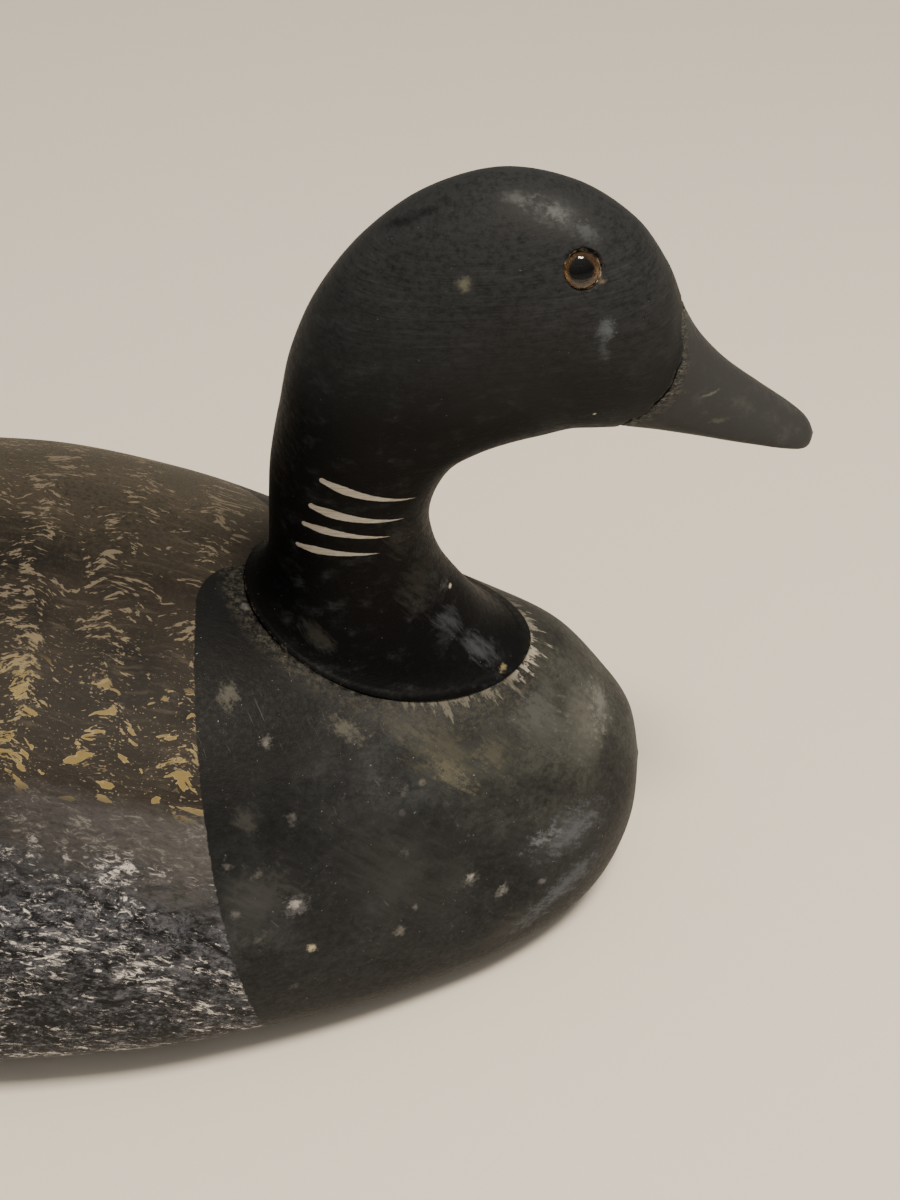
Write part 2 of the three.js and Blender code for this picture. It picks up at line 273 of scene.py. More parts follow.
sink(head, cut + LEDGE_DEPTH * ledge + rough + knocked(points, HEAD_MARKS))


# Tool marks.
# A spokeshave leaves long shallow facets along the grain, and brushed oil paint leaves fine ridges.
# One Geometry Nodes tree presses both into a carving; its sizes are in metres.
def fill(tree, node, inputs):
    """Gives a node's inputs their values or links, in order or by name."""
    for name, value in inputs.items() if isinstance(inputs, dict) else enumerate(inputs):
        if isinstance(value, bpy.types.NodeSocket):
            tree.links.new(value, node.inputs[name])
        else:
            node.inputs[name].default_value = value


def add(tree, kind, inputs=(), operation=None, out=0, **settings):
    """Adds a node with its inputs and settings and gives back one of its outputs. The name of a
    shader node's kind goes without its first part."""
    node = tree.nodes.new(kind if "Node" in kind else "ShaderNode" + kind)
    if operation:
        node.operation = operation
    for name, value in settings.items():
        setattr(node, name, value)
    fill(tree, node, inputs)
    return node.outputs[out]


def tool_marks():
    """Smooth cells give the facets, and noise gives the brush ridges."""
    tree = bpy.data.node_groups.new("tool_marks", "GeometryNodeTree")
    face = tree.interface
    face.new_socket("Geometry", in_out="INPUT", socket_type="NodeSocketGeometry")
    for name in ("Facet length", "Facet width", "Facet depth", "Ridge depth", "Seed"):
        face.new_socket(name, in_out="INPUT", socket_type="NodeSocketFloat")
    face.new_socket("Material", in_out="INPUT", socket_type="NodeSocketMaterial")
    face.new_socket("Geometry", in_out="OUTPUT", socket_type="NodeSocketGeometry")
    given = tree.nodes.new("NodeGroupInput").outputs
    place = add(tree, "GeometryNodeInputPosition")
    long, wide, seed = given["Facet length"], given["Facet width"], given["Seed"]
    size = add(tree, "CombineXYZ", [long, wide, wide])
    scaled = add(tree, "VectorMath", [place, size], "DIVIDE")
    facets = add(tree, "TexVoronoi", {"Vector": scaled, "W": seed, "Scale": 1.0, "Smoothness": 0.55},
                 voronoi_dimensions="4D", feature="SMOOTH_F1")
    ridges = add(tree, "TexNoise", {"Vector": scaled, "W": seed, "Scale": 5.0, "Roughness": 0.6},
                 noise_dimensions="4D")
    facets = add(tree, "Math", [facets, given["Facet depth"]], "MULTIPLY")
    ridges = add(tree, "Math", [ridges, given["Ridge depth"]], "MULTIPLY")
    depth = add(tree, "Math", [facets, ridges], "ADD")
    inward = add(tree, "Math", [depth, -1.0], "MULTIPLY")
    normal = add(tree, "GeometryNodeInputNormal")
    push = add(tree, "VectorMath", {0: normal, "Scale": inward}, "SCALE")
    moved = add(tree, "GeometryNodeSetPosition", {"Geometry": given["Geometry"], "Offset": push})
    real = add(tree, "GeometryNodeRealizeInstances", {"Geometry": moved})
    dressed = add(tree, "GeometryNodeSetMaterial", {"Geometry": real, "Material": given["Material"]})
    tree.links.new(dressed, tree.nodes.new("NodeGroupOutput").inputs[0])
    return tree


TOOL_MARKS = tool_marks()


def plain(piece):
    """Replaces a piece's mesh with what its modifiers make of it."""
    graph = bpy.context.evaluated_depsgraph_get()
    graph.update()
    shaped = piece.evaluated_get(graph)
    made = bpy.data.meshes.new_from_object(shaped, preserve_all_data_layers=True, depsgraph=graph)
    piece.modifiers.clear()
    piece.data = made


def through_nodes(piece, tree, values):
    """Runs a piece through a Geometry Nodes tree and keeps what it makes."""
    modifier = piece.modifiers.new(tree.name, "NODES")
    modifier.node_group = tree
    for socket in tree.interface.items_tree:
        if socket.item_type == "SOCKET" and socket.in_out == "INPUT" and socket.name in values:
            modifier[socket.identifier] = values[socket.name]
    plain(piece)


def cut_away(piece, cutter):
    """Cuts one closed mesh out of another, and deletes the cutter."""
    modifier = piece.modifiers.new("cut", "BOOLEAN")
    modifier.operation = "DIFFERENCE"
    modifier.solver = "EXACT"
    modifier.object = cutter
    plain(piece)
    bpy.data.objects.remove(cutter)


def linear(colour):
    """A colour written as sRGB hex, as the linear RGBA that Blender works in."""
    parts = [int(colour[i:i + 2], 16) / 255 for i in (1, 3, 5)]
    return [p / 12.92 if p <= 0.04045 else ((p + 0.055) / 1.055) ** 2.4 for p in parts] + [1]


def new_material(name, roughness, ior, gloss=0.5):
    material = bpy.data.materials.new(name)
    material.use_nodes = True
    tree = material.node_tree
    shader = tree.nodes["Principled BSDF"]
    fill(tree, shader, {"Roughness": roughness, "IOR": ior, "Specular IOR Level": gloss})
    return material, tree, shader


def millimetres(tree):
    """The place of a point on the part, in millimetres."""
    metres = add(tree, "TexCoord", out=3)
    return add(tree, "VectorMath", [metres, (1 / MM,) * 3], "MULTIPLY")


def grainy(tree, place, size, seed, detail=4, rough=0.6, twist=0, turn=0):
    """Noise round 0.5, whose swells are `size` millimetres long in x, y and z before they are
    turned about the bird's width by some degrees, down towards the bill."""
    shift = [3.7 * seed * length for length in size]
    at = add(tree, "Mapping", [place, shift, (0, math.radians(turn), 0), size], vector_type="TEXTURE")
    return add(tree, "TexNoise", {"Vector": at, "Scale": 1.0, "Detail": detail,
                                  "Roughness": rough, "Distortion": twist})


def masked(tree, *masks):
    """The product of some masks. A mask is a number, a socket, or a socket with the two levels
    between which the mask goes from 0 to 1."""
    product = None
    for mask in masks:
        if isinstance(mask, tuple):
            mask = add(tree, "MapRange", mask)
        if product is not None:
            mask = add(tree, "Math", [product, mask], "MULTIPLY")
        product = mask
    return product


def coated(tree, ground, coats):
    """Lays coats of paint over a ground colour: each is its colour and the masks it shows by."""
    colour = linear(ground) if isinstance(ground, str) else ground
    for coat, *masks in coats:
        coat = linear(coat) if isinstance(coat, str) else coat
        colour = add(tree, "Mix", {0: masked(tree, *masks), 6: colour, 7: coat}, out=2, data_type="RGBA")
    return colour


def scuffed(tree, place, ragged, scuffs, eaten, middle=0.5):
    """Coats for a list of scuffed places: centre and half sizes in millimetres, turn about the
    bird's width in degrees, how far it covers, and colour. A ragged noise round its middle value
    has eaten into them."""
    coats = []
    for centre, size, turn, share, colour in scuffs:
        at = add(tree, "Mapping", [place, centre, (0, math.radians(turn), 0), size],
                 vector_type="TEXTURE")
        away = add(tree, "VectorMath", [at], "LENGTH", out=1)
        away = add(tree, "Math", [ragged, eaten, away], "MULTIPLY_ADD")
        coats.append((colour, share, (away, middle * eaten + 1, middle * eaten + 0.15)))
    return coats


def relief(tree, shader, height, deep, strength=0.7):
    """Presses a height between 0 and 1 into a surface, so many millimetres deep."""
    fill(tree, shader, {"Normal": add(tree, "Bump", {
        "Strength": strength, "Distance": deep * MM, "Height": height})})


# Paint on the head.
# Flat black oil paint over cedar, handled until it has gone charcoal: nearly matte, faintly
# polished on the crown, with grey bloom where it has chalked and fine brush lines along the head.
# Four off-white strokes lie on each side of the neck: start (x, z), end (x, z), bend, half width.
NECK_STROKES = [
    ((100.9, 153.4), (124.9, 144.3), -0.15, 1.3),
    ((97.7, 144.2), (121.4, 137.9), 0.1, 1.4),
    ((95.5, 137.6), (117.8, 133.0), 0.45, 1.2),
    ((93.4, 129.7), (115.0, 128.2), 0.5, 1.2),
]
# Half width along a stroke: a blunt start, fullest a quarter of the way, then lifting to a point.
STROKE_START, STROKE_FULL, STROKE_FULL_AT, STROKE_LIFT = 0.62, 1.3, 0.25, 0.9
# Rubbed, chipped and chalked places, and painted shade that darkens the crease behind the crown.
HEAD_SCUFFS = [
    ((159, -9, 225.8), (8, 7, 3.6), 22, 0.35, "#565B5E"),
    ((158.5, -9, 226.2), (3.6, 3, 1.7), 25, 0.3, "#777C7E"),
    ((166, -10.5, 221.8), (4, 5, 2.2), 30, 0.35, "#62676A"),
    ((149.5, -7.5, 229), (5, 4, 1.4), 5, 0.35, "#686D6F"),
    ((170.9, -19.7, 200.6), (2.9, 4, 3.4), 10, 0.6, "#5F666D"),
    ((170.6, -20.4, 195), (1.5, 4, 4), -8, 0.4, "#565C62"),
    ((136.8, -18.5, 212.4), (2.5, 3, 2.3), 0, 0.6, "#6E6E5F"),
    ((169.3, -15.5, 211.9), (1.3, 2.2, 1.0), -20, 0.65, "#776C5A"),
    ((169.6, -16.9, 173.4), (0.55, 1, 0.45), -30, 1, "#B5B2AA"),
    ((133.6, -4.8, 105.5), (1.1, 1.4, 0.7), 0, 1, "#D8D2C4"),
    ((131, -6, 107), (3, 3, 1.6), 0, 0.5, "#57595A"),
    ((148.4, -14.3, 83), (1.7, 2, 0.8), 0, 0.85, "#8C8160"),
    ((199, -10, 174.6), (3.6, 4, 0.4), -6, 0.6, "#686761"),
    ((201.3, -12.3, 167.8), (3.4, 3, 0.8), -4, 0.45, "#615F57"),
    ((207, -7, 170), (5, 4, 1.6), 30, 0.3, "#57564F"),
]
# Painted shade: black patches that darken the carved crease behind the crown.
CREASE_SHADE = [
    ((124.4, -5.8, 222.2), (11, 5, 0.9), -30, 0.5, "#070707"),
    ((120.8, -5.2, 220.4), (6, 5, 0.7), -34, 0.5, "#030303"),
]
NECK_SCUFFS = [
    ((87, -14, 166), (9, 14, 24), 5, 0.6, "#302F2B"),
    ((88, -9, 163), (2.5, 6, 12), 5, 0.4, "#4A4035"),
    ((128, -15, 113), (10, 9, 9), 30, 0.35, "#3F3E3A"),
    ((122, -19, 131), (6, 9, 8), 0, 0.35, "#45433B"),
    ((133.5, -13, 99.5), (6, 7, 3.4), 45, 0.5, "#494C54"),
    ((141.8, -14, 90), (8.5, 7, 3.2), 47, 0.6, "#4F525A"),
    ((151, -10, 89), (5, 5, 1), 60, 0.45, "#62625F"),
    ((97.5, -22.6, 103), (7, 9, 3.0), 35, 0.35, "#44443E"),
]


def stroke_distance(tree, flat, start, end, bend, half_width):
    """Distance from the outline of a tapering brush stroke, less than 0 in it."""
    chord = math.dist(start, end)
    slant = math.atan2(end[1] - start[1], end[0] - start[0])
    local = add(tree, "Mapping", [flat, (*start, 0), (0, 0, slant)], vector_type="TEXTURE")
    along, off, _ = add(tree, "SeparateXYZ", [local]).node.outputs
    share = add(tree, "Math", [along, chord], "DIVIDE", use_clamp=True)
    kept = add(tree, "Math", [1.0, share], "SUBTRACT")
    sag = add(tree, "Math", [share, kept], "MULTIPLY")
    sag = add(tree, "Math", [sag, -4 * bend, off], "MULTIPLY_ADD")
    past = add(tree, "Math", [share, -chord, along], "MULTIPLY_ADD")
    offset = add(tree, "CombineXYZ", [past, sag])
    away = add(tree, "VectorMath", [offset], "LENGTH", out=1)
    lift = add(tree, "Math", [kept, STROKE_LIFT], "POWER")
    press = add(tree, "MapRange", [share, 0.0, STROKE_FULL_AT, STROKE_START, STROKE_FULL],
                interpolation_type="SMOOTHSTEP")
    wide = add(tree, "Math", [lift, press], "MULTIPLY")
    return add(tree, "Math", [wide, -half_width, away], "MULTIPLY_ADD")


# The neck's foot seen from above: the x of its centre, its half length and width, and their mean.
FOOT_X, FOOT_LENGTH, FOOT_WIDTH, FOOT_MEAN = 116.2, 40.5, 33.3, 37.0
ANY_HEIGHT = 1e6


def past_the_foot(tree, place):
    """Distance outwards from the neck's foot, seen from above, and the place in foot sizes."""
    size = (FOOT_LENGTH, FOOT_WIDTH, ANY_HEIGHT)
    at = add(tree, "Mapping", [place, (FOOT_X, 0, 0), (0, 0, 0), size], vector_type="TEXTURE")
    away = add(tree, "VectorMath", [at], "LENGTH", out=1)
    return add(tree, "Math", [away, FOOT_MEAN, -FOOT_MEAN], "MULTIPLY_ADD"), at


def head_paint():
    material, tree, shader = new_material("oil_paint_on_cedar_head", 0.5, 1.5, gloss=0.1)
    place = millimetres(tree)
    x, _, z = add(tree, "SeparateXYZ", [place]).node.outputs
    past = add(tree, "SeparateXYZ", [add(tree, "UVMap", uv_map="grain")])
    broad = grainy(tree, place, (26, 26, 20), seed=1, detail=2)
    fine = grainy(tree, place, (1.8, 1.8, 1.2), seed=2, rough=0.75)
    # Bristles leave lines 0.1 mm apart, which are drawn 0.5 mm wide so that they show.
    lines = grainy(tree, place, (13, 6, 0.5), seed=3, detail=3, twist=0.3, turn=-4)
    chalk = grainy(tree, place, (8, 8, 5), seed=4, detail=5, rough=0.7)
    specks = grainy(tree, place, (0.6, 0.6, 0.5), seed=5, detail=0, rough=0.5)
    crumbs = grainy(tree, place, (1.5, 1.0, 0.5), seed=6, detail=3, rough=0.75)
    worn = grainy(tree, place, (2.4, 2.4, 2.4), seed=7, rough=0.7)
    wiped = grainy(tree, place, (6, 4, 1.1), seed=8, rough=0.75, twist=0.4, turn=50)
    # The crown and the brow have chalked most; the neck under the head is darkened as painted shade.
    high = masked(tree, (z, 170, 208))
    brushed = masked(tree, high, (z, 226, 212))
    # The bill is a browner black, with dry chalky brush marks.
    bill = masked(tree, (past, -0.3, 1.2))
    # Paint has flaked to grey along the foot of the ledge, and the cut is darkened as painted shadow.
    inside = add(tree, "Math", [past, 1.7], "SUBTRACT")
    inside = add(tree, "Math", [inside], "ABSOLUTE")
    strip = masked(tree, (inside, 3.0, 0.8), (crumbs, 0.49, 0.57), (z, 161, 168))
    cut_shadow = add(tree, "Math", [past, 0.4, 0.45], "COMPARE")
    from_foot = past_the_foot(tree, place)[0]
    coats = [
        ("#121416", (broad, 0.4, 0.62)),
        ("#292C2F", 0.45, (fine, 0.5, 0.78)),
        ("#3A3F42", 0.45, (chalk, 0.54, 0.8)),
        ("#303234", high, 0.85, (fine, 0.15, 0.55)),
        ("#3C4043", brushed, 0.4, (lines, 0.54, 0.66), (chalk, 0.42, 0.58)),
        ("#161719", brushed, 0.5, (lines, 0.46, 0.38), (chalk, 0.6, 0.46)),
        # Painted shade: near black on the neck under the head and behind the face.
        ("#020203", 0.95, (z, 188, 156), (x, 160, 125), (chalk, 0.68, 0.5)),
        ("#393A3A", bill, 0.9),
        ("#4F504E", bill, 0.45, (chalk, 0.5, 0.68), (fine, 0.35, 0.65)),
        ("#61605A", strip, 0.8),
        ("#1A1A19", 0.7, (inside, 3.2, 0.8), (crumbs, 0.46, 0.38)),
        # Painted shadow: the cut at the foot of the ledge is blackened, most on its lower part.
        ("#030303", cut_shadow, (z, 200, 182)),
        *scuffed(tree, place, fine, HEAD_SCUFFS, eaten=2.8),
        # Painted shade in the crease behind the crown.
        *scuffed(tree, place, fine, CREASE_SHADE, eaten=1.2),
        *scuffed(tree, place, wiped, NECK_SCUFFS, eaten=2.6),
        # Painted shade: the flare behind the neck, under the head, is darkened to near black.
        ("#020202", 0.85, (x, 92, 82), (z, 134, 116)),
        ("#77777A", 0.45, (specks, 0.87, 0.9)),
        # The foot's edge is worn pale where hands and dust reach it.
        ("#4F4B40", 0.7, (from_foot, -1.1, -0.3), (z, 112, 108), (worn, 0.52, 0.62)),
    ]
    flat = add(tree, "CombineXYZ", [x, z])
    distance = 50.0
    for stroke in NECK_STROKES:
        distance = add(tree, "Math", [distance, stroke_distance(tree, flat, *stroke)], "MINIMUM")
    edge = add(tree, "Math", [crumbs, 0.35, distance], "MULTIPLY_ADD")
    stroke_paint = coated(tree, "#ABA59B", [
        ("#77726A", 0.6, (lines, 0.42, 0.62)),
        ("#BAB4A8", 0.4, (fine, 0.5, 0.65)),
    ])
    coats.append((stroke_paint, (edge, 0.24, 0.1)))
    height = add(tree, "Math", [lines, 0.5, fine], "MULTIPLY_ADD")
    height = add(tree, "Math", [strip, 2.2, height], "MULTIPLY_ADD")
    relief(tree, shader, height, deep=0.15)
    fill(tree, shader, {"Base Color": coated(tree, "#090A0C", coats),
                        "Roughness": add(tree, "MapRange", [fine, 0.3, 0.7, 0.42, 0.66])})
    return material


through_nodes(head, TOOL_MARKS, {
    "Facet length": 0.016, "Facet width": 0.011, "Facet depth": 0.00016, "Ridge depth": 0.00008,
    "Seed": 4.0, "Material": head_paint()})


# Glass eyes, one each side.
# Blown clear glass with the colour fired behind it: a black pupil in an amber-brown iris. Each
# sits in a bored socket, bedded in putty that leaves a gap above it and in front.
EYE_X, EYE_OUT, EYE_Z = 164.6, 16.1, 214.8
EYE_TURN_UP = math.radians(27.5)
EYE_TURN_FORWARD = math.radians(13.5)
EYE_RADIUS = 4.35
EYE_BACK_RADIUS = 0.8 * EYE_RADIUS
EYE_DOME = 2.0
EYE_DEPTH = 2.6
EYE_SIDES = 72
SOCKET_RADIUS = 5.05
SOCKET_DEPTH = 2.9
PUPIL_RADIUS = 2.5
IRIS_RADIUS = 3.95
# Each piece of an eye is turned from heights out of the head and radii.
ROUND = np.linspace(0, math.pi / 2, 15)[:-1]
DRILL_PROFILE = [(-SOCKET_DEPTH, 0), (-SOCKET_DEPTH, SOCKET_RADIUS), (6, SOCKET_RADIUS), (6, 0)]
GLASS_PROFILE = [
    (-EYE_DEPTH, 0), (-EYE_DEPTH, 0.5 * EYE_BACK_RADIUS), (-EYE_DEPTH, EYE_BACK_RADIUS),
    (0.3 - EYE_DEPTH, EYE_BACK_RADIUS + 0.3), (-0.5, EYE_RADIUS - 0.03),
    *((EYE_DOME * math.sin(turn), EYE_RADIUS * math.cos(turn)) for turn in ROUND), (EYE_DOME, 0)]
IRIS_PROFILE = [
    (-1.5, 0), (-1.5, 2), (-1.3, IRIS_RADIUS - 0.3), (-0.7, IRIS_RADIUS), (-0.85, 3.5),
    (-0.95, PUPIL_RADIUS), (-1.02, 2), (-1.05, 1), (-1.05, 0)]
PUTTY_PROFILE = [
    (-2.85, 0), (-2.85, SOCKET_RADIUS - 0.15), (-0.9, SOCKET_RADIUS - 0.1),
    (-0.35, SOCKET_RADIUS - 0.12), (-0.2, SOCKET_RADIUS - 0.35), (-0.35, EYE_RADIUS + 0.1),
    (-1, EYE_RADIUS + 0.06), (-2.7, EYE_BACK_RADIUS), (-2.75, 0)]
# The socket was bored a little off towards the brow, and the putty has sunk there.
GAP_TURN = math.radians(35)
GAP_SHIFT = 0.5
GAP_DEPTH = 1.6
LUMP_HEIGHT = 0.25


def eye_axes(side):
    """Centre of an eye's rim, its way out of the head, towards the bill, and up."""
    up, forward = math.sin(EYE_TURN_UP), math.sin(EYE_TURN_FORWARD)
    out = np.array([forward, side * math.cos(EYE_TURN_FORWARD) * math.cos(EYE_TURN_UP),
                    math.cos(EYE_TURN_FORWARD) * up])
    ahead = np.array([1, 0, 0]) - forward * out
    ahead = ahead / np.linalg.norm(ahead)
    return np.array([EYE_X, side * EYE_OUT, EYE_Z]), out, ahead, side * np.cross(ahead, out)


def turned(name, side, profile, shift=0.0):
    """A piece turned about an eye's axis, or about one shifted towards the gap, from a profile whose
    ends lie on the axis. The piece's map holds the radius."""
    centre, out, ahead, above = eye_axes(side)
    centre = centre + shift * (math.cos(GAP_TURN) * ahead + math.sin(GAP_TURN) * above)
    angle = 2 * math.pi * np.arange(EYE_SIDES) / EYE_SIDES
    circle = np.cos(angle)[:, None] * ahead + side * np.sin(angle)[:, None] * above
    heights, radii = np.array(profile).T
    rings = centre + out * heights[:, None, None] + circle * radii[:, None, None]
    along = np.broadcast_to(radii[1:-1, None], (len(radii) - 2, EYE_SIDES))
    return skin(name, rings[1:-1], rings[0, 0], rings[-1, 0], along)


def clear_glass():
    """Soda-lime glass, fire-polished: clear, with one sharp highlight that barely wavers."""
    material, tree, shader = new_material("clear_soda_glass", 0.0, 1.52, gloss=0.2)
    fill(tree, shader, {"Base Color": (1, 1, 1, 1), "Transmission Weight": 1.0})
    waver = grainy(tree, millimetres(tree), (6.25, 6.25, 6.25), seed=0, detail=0, rough=0.5)
    relief(tree, shader, waver, deep=0.1, strength=0.08)
    return material


def fired_iris():
    """Enamel fired on the glass: clouded amber, browner below, round a black pupil."""
    material, tree, shader = new_material("fired_enamel_iris", 0.5, 1.5, gloss=0.0)
    place = millimetres(tree)
    z = add(tree, "SeparateXYZ", [place], out=2)
    radius = add(tree, "SeparateXYZ", [add(tree, "UVMap", uv_map="grain")])
    clouds = grainy(tree, place, (1.7, 1.7, 1.7), seed=2, detail=1.5, rough=0.5)
    edge = add(tree, "Math", [clouds, 0.8, radius], "MULTIPLY_ADD")
    fill(tree, shader, {"Base Color": coated(tree, "#86673E", [
        ("#4A2F19", 0.7, (clouds, 0.42, 0.62)),
        ("#3A220F", 0.75, (z, 214, 211)),
        ("#24160C", 0.8, (z, 216, 218.5)),
        # Painted highlight: a pale line on the upper rim of the iris, where the glass edge catches the
        # light.
        ("#8F7455", 0.4, (edge, IRIS_RADIUS, IRIS_RADIUS + 0.4), (z, 212.5, 214.5)),
        ("#1A0F07", 0.95, (edge, PUPIL_RADIUS + 1.25, PUPIL_RADIUS + 0.5)),
        ("#030303", (edge, PUPIL_RADIUS + 0.5, PUPIL_RADIUS + 0.3)),
    ])})
    return material


def eye_putty():
    """Whiting putty, chalky and dull, brushed over with black and since cracked off in places."""
    material, tree, shader = new_material("linseed_putty", 0.7, 1.5)
    place = millimetres(tree)
    bare = grainy(tree, place, (1.4, 1.4, 1.2), seed=3, rough=0.65)
    fine = grainy(tree, place, (0.5, 0.5, 0.5), seed=4, rough=0.7)
    fill(tree, shader, {"Base Color": coated(tree, "#1B1A17", [
        ("#35322C", 0.5, (fine, 0.4, 0.7)),
        ("#85765F", (bare, 0.5, 0.58)),
    ])})
    relief(tree, shader, fine, deep=0.1)
    return material


GLASS, IRIS, PUTTY = clear_glass(), fired_iris(), eye_putty()
for side, name in ((1, "left"), (-1, "right")):
    cut_away(head, turned("drill", side, DRILL_PROFILE, GAP_SHIFT))
    glass = turned("eye_glass_" + name, side, GLASS_PROFILE)
    iris = turned("eye_iris_" + name, side, IRIS_PROFILE)
    putty = turned("eye_putty_" + name, side, PUTTY_PROFILE, GAP_SHIFT)
    centre, out, ahead, above = eye_axes(side)
    points = read_points(putty)
    height = (points - centre) @ out
    way_round = np.arctan2((points - centre) @ above, (points - centre) @ ahead)
    gap = np.clip(np.cos(way_round - GAP_TURN) * 1.6 - 0.4, 0, 1)
    lumps = LUMP_HEIGHT * ripple(points, 2.5, 5)
    points -= out * ((GAP_DEPTH * gap + lumps) * np.clip(1 + height, 0, 1))[:, None]
    write_points(putty, points)
    for piece, finish in ((glass, GLASS), (iris, IRIS), (putty, PUTTY)):
        piece.data.materials.append(finish)
        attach(piece, "root")
    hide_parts("eye_" + name)

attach(head, "root")
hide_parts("head")

# Body.
# One block of white cedar, carved to an egg with drawknife and spokeshave, planed flat below and
# cut on the back with a shelf for the neck. Each station is a cross-section in millimetres: x from
# tail to breast, half width, ridge, keel before planing, height of the widest line, and slope of
# the shoulders (1 is an ellipse, more is more sloping).
BODY_STATIONS = np.array([
    (-228.7, 0, 66, 66, 66, 1),
    (-226.8, 13, 69.5, 62, 65.5, 1),
    (-221, 25, 72, 57.5, 64.5, 1),
    (-210, 35.5, 75, 51, 61.5, 1),
    (-193, 46, 80, 39.5, 56, 1),
    (-169, 60, 89, 22, 48.5, 1),
    (-136, 77.5, 102.5, 4.5, 40, 0.96),
    (-92, 93, 116, -3, 34.5, 0.91),
    (-42, 101, 123.3, -4, 32, 0.9),
    (8, 101, 122.5, -4, 31, 0.9),
    (50, 96.5, 113.5, -4, 29, 0.93),
    (84, 87.5, 104.3, -4, 27, 1.05),
    (117, 75, 95.6, -4, 24, 1.26),
    (145, 61.5, 87.4, -3.5, 22, 1.48),
    (165, 48, 76.5, -1, 24, 1.28),
    (179, 34, 61, 5, 28, 1.12),
    (188, 17.5, 49, 18, 32, 1),
    (191, 0, 34, 34, 34, 1),
])
BILGE_FULLNESS = 0.66
BODY_SPACING = 1.65
UNDERSIDE_SPACING = 5.0
PLANED_EDGE_RADIUS = 0.7
WIDEST_STATION = 8.5


def body_outline(position, samples=721):
    """Half of a cross-section of the body, from ridge to keel: its x, and y and z along it."""
    x, width, ridge, keel, waist, slope = (spline(c, position) for c in BODY_STATIONS.T)
    angle = np.linspace(0, math.pi, samples)
    across, rise = np.sin(angle), np.cos(angle)
    y = max(width, 0) * np.where(rise > 0, across, np.abs(across) ** BILGE_FULLNESS)
    over = waist + (ridge - waist) * np.abs(rise) ** slope
    under = waist - (waist - keel) * np.abs(rise) ** BILGE_FULLNESS
    z = np.where(rise > 0, over, under)
    # The plane takes off all that lies below the floor and leaves a slightly eased edge.
    return x, y, 0.5 * (z + np.sqrt(z * z + PLANED_EDGE_RADIUS ** 2))


def body_rings():
    """The body's rings, which lie closest where the body curves."""
    last = len(BODY_STATIONS) - 1
    dense = np.linspace(0, last, 60 * last)
    x, width, ridge, keel = (spline(c, dense) for c in BODY_STATIONS.T[:4])
    positions = spread(np.stack([x, width, 0.5 * (ridge - keel)], 1), BODY_SPACING)[1:-1] * last
    rings, half = [], None
    for position in np.concatenate([[WIDEST_STATION], positions]):
        x, y, z = body_outline(position)
        spacing = np.where(z[1:] > 1, BODY_SPACING, UNDERSIDE_SPACING)
        weight = np.concatenate([[0], np.cumsum(np.hypot(np.diff(y), np.diff(z)) / spacing)])
        if half is None:
            # The widest section says how many points each ring takes.
            half = int(weight[-1])
            continue
        at = np.interp(np.linspace(0, weight[-1], half + 1), weight, np.arange(len(y)))
        y, z = (np.interp(at, np.arange(len(y)), values) for values in (y, z))
        left = np.stack([np.full(half + 1, x), y, z], 1)
        ring = np.concatenate([left, left[half - 1:0:-1] * (1, -1, 1)])
        rings.append(np.roll(ring, -half, axis=0))
    return np.array(rings)


rings = body_rings()
ends = BODY_STATIONS[[0, -1], :3] * (1, 0, 1)
body = skin("carved_body", rings, *ends, rings[:, :, 0])

# Knocks: a pinhole and dents on the breast, and splinters gone from the edge of the underside.
BODY_MARKS = [
    ((120.5, -53.8, 66.8), (120.6, -53.8, 66.8), 1.7, 0.8),
    ((96.3, -80.4, 41.9), (95, -80.8, 41.9), 2.0, 0.35),
    ((140, -57.5, 42.3), (141, -57, 42.3), 2.4, 0.3),
    ((60, -50, 97.5), (68, -48, 97), 3.0, 0.25),
    ((20, -84, 82), (34, -83, 80), 2.6, 0.2),
    ((26.8, -99.6, 39.5), (29.1, -98, 48.4), 6, 0.35),
    ((-60, 40, 117), (-52, 42, 116), 3.5, 0.35),
    ((-150, 60, 70), (-146, 62, 68), 3.5, 0.4),
]
SPLINTER_DEPTH = 1.2
SPLINTER_HEIGHT, SPLINTER_REACH = 1.5, 3.5
SWELL_DEPTH = 0.25
points = read_points(body)
edge = np.clip(1 - np.abs(points[:, 2] - SPLINTER_HEIGHT) / SPLINTER_REACH, 0, 1)
splintered = np.clip(ripple(points * (1, 1, 0.2), 13, 11) - 0.15, 0, 1)
splintered = splintered * (0.6 + 0.4 * ripple(points, 3.5, 12))
# The drawknife has left slow swells, which the plane has taken off below.
swell = SWELL_DEPTH * (ripple(points, 70, 13) + 1) * np.clip(points[:, 2] / 8, 0, 1)
sink(body, knocked(points, BODY_MARKS) + SPLINTER_DEPTH * edge * splintered + swell)


# Paint on the body.
# Flat oils over cedar, nearly matte with a dull sheen where they are rubbed, in four fields: black
# breast up to a crisp edge, brown back with worn tan dabs in zigzag rows, a plain grey-brown band,
# and grey-black flanks dry-brushed with off-white. The back and the flank end at some girth, which
# is the way round the body from its ridge in millimetres.
BREAST_EDGE = 64.3
BREAST_EDGE_CURVE = 0.00088
EDGE_BLUR = 0.3
BACK_END = 77
BAND_BLUR = 6
FLANK_START, FLANK_FULL = 106, 120
ROW_SPACING = 24
ROW_CORE, ROW_END = 1.5, 8.0
ZIGZAG_STEP = 9
ZIGZAG_REACH = 0.8
LEAN_STEP = 11.0
LEAN = 0.4
# Noise levels between which each kind of dab begins, and what crowding adds to them in and between
# the rows. On the far side the dabs start lower, so that only faint ones show along the ridge.
SMALL_DABS, FAINT_DABS, LARGE_DABS, SPRINKLED_DABS = (
    (0.805, 0.82), (0.765, 0.8), (0.715, 0.725), (0.76, 0.78))
CROWDED, SPARSE = 0.105, -0.005
FAR_SIDE, FAR_SHIFT = (0, 8), -24.0
